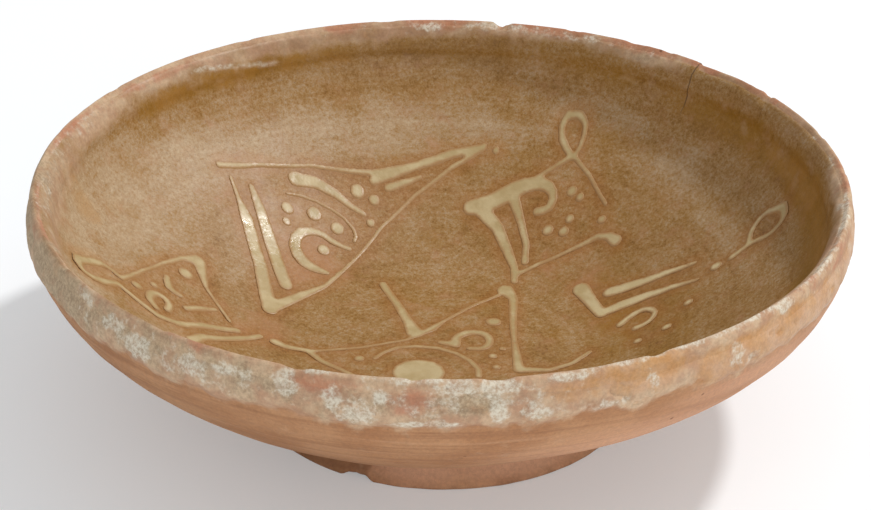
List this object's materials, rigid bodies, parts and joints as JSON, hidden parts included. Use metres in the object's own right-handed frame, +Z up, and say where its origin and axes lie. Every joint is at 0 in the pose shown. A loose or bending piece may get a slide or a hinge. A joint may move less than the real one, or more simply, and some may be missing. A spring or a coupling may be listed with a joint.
{
  "type": "glazed earthenware bowl",
  "caption": "Wide wheel-thrown earthenware bowl on a low foot ring, amber glaze inside, raised cream slip-trailed panels and loops, for serving or display.",
  "frame": {"origin": "centre of the lip circle projected on the plane the foot stands on", "axes": "+Z up along the throwing axis, +Y towards the back of the bowl as pictured, +X to the right"},
  "size_m": [0.24, 0.24, 0.073],
  "materials": {
    "clay": "bare fired red clay, matt, worn",
    "inner_glaze": "clear amber lead glaze over red clay, glossy, speckled",
    "outer_glaze": "weathered amber glaze with pale deposits",
    "slip": "cream trailed slip under clear glaze"
  },
  "bodies": {
    "root": {"foot_ring": "clay", "inner_glaze": "inner_glaze", "outer_glaze": "outer_glaze", "slip_back_left_arc": "slip", "slip_back_left_club": "slip", "slip_back_left_dot_1": "slip", "slip_back_left_dot_2": "slip", "slip_back_left_dot_3": "slip", "slip_back_left_dot_4": "slip", "slip_back_left_dot_5": "slip", "slip_back_left_dot_6": "slip", "slip_back_left_dot_7": "slip", "slip_back_left_dot_8": "slip", "slip_back_left_dot_9": "slip", "slip_back_left_frame": "slip", "slip_back_left_inner_bar": "slip", "slip_back_left_leaf": "slip", "slip_back_left_scroll": "slip", "slip_back_right_dot_1": "slip", "slip_back_right_dot_2": "slip", "slip_back_right_dot_3": "slip", "slip_back_right_dot_4": "slip", "slip_back_right_dot_5": "slip", "slip_back_right_dot_6": "slip", "slip_back_right_frame": "slip", "slip_centre_disc": "slip", "slip_centre_dot_1": "slip", "slip_centre_dot_2": "slip", "slip_centre_dot_3": "slip", "slip_centre_dot_4": "slip", "slip_centre_dot_5": "slip", "slip_centre_frame": "slip", "slip_centre_ring": "slip", "slip_centre_scroll": "slip", "slip_front_left_frame": "slip", "slip_front_right_bar": "slip", "slip_front_right_corner": "slip", "slip_front_right_dot_1": "slip", "slip_front_right_dot_2": "slip", "slip_front_right_loop": "slip", "slip_front_right_scroll": "slip", "slip_left_bar": "slip", "slip_left_crescent": "slip", "slip_left_dot_1": "slip", "slip_left_dot_2": "slip", "slip_left_dot_3": "slip", "slip_left_frame": "slip", "slip_left_leaf": "slip", "slip_left_stem": "slip", "slip_right_bar": "slip", "slip_right_corner": "slip", "slip_right_dot_1": "slip", "slip_right_dot_2": "slip", "slip_right_dot_3": "slip", "slip_right_dot_4": "slip", "slip_right_loop": "slip", "slip_right_scroll": "slip", "thrown_body": "clay"}
  },
  "joints": []
}
